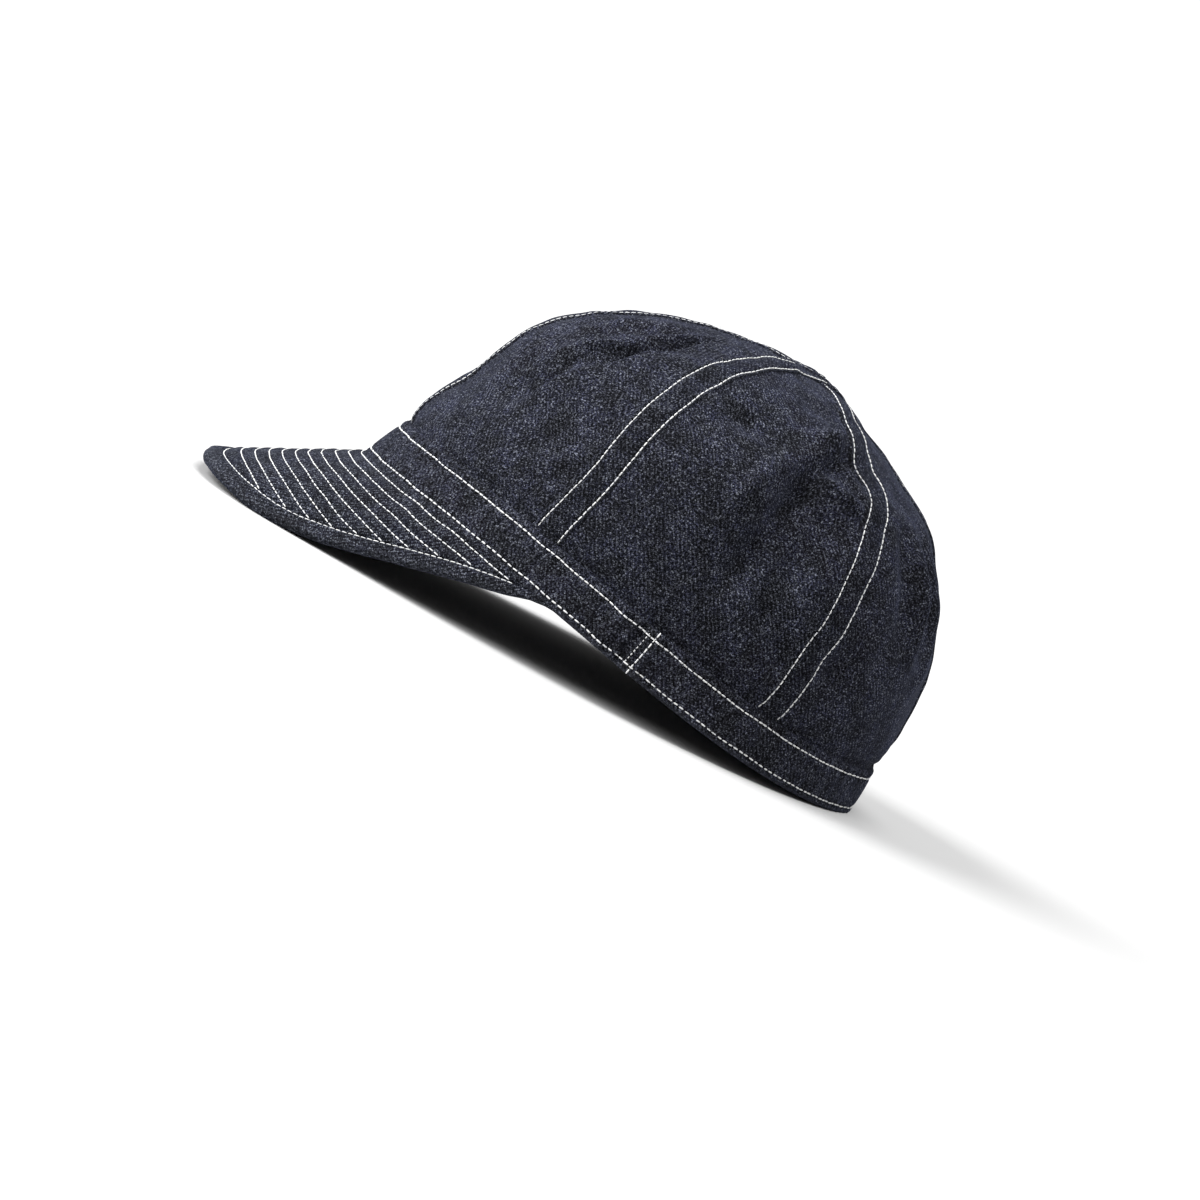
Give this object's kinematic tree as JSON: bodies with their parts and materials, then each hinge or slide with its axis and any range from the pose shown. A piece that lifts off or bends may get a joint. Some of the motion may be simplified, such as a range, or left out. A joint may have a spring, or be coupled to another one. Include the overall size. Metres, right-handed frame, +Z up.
{
  "type": "army cap",
  "caption": "Soft denim army cap with a six-gore crown, a narrow band and a short stitched peak, lying on its rim.",
  "frame": {"origin": "on the floor, under the middle of the cap's box as it lies by itself", "axes": "+Z up, -Y the way the peak points, +X the wearer's left"},
  "size_m": [0.1664, 0.2508, 0.1239],
  "materials": {
    "crown_denim": "matte",
    "band_denim": "matte",
    "peak_denim": "matte"
  },
  "bodies": {
    "root": {"crown_front_left": "crown_denim", "crown_side_left": "crown_denim", "crown_rear_left": "crown_denim", "crown_rear_right": "crown_denim", "crown_side_right": "crown_denim", "crown_front_right": "crown_denim", "band": "band_denim", "peak": "peak_denim"}
  },
  "joints": []
}
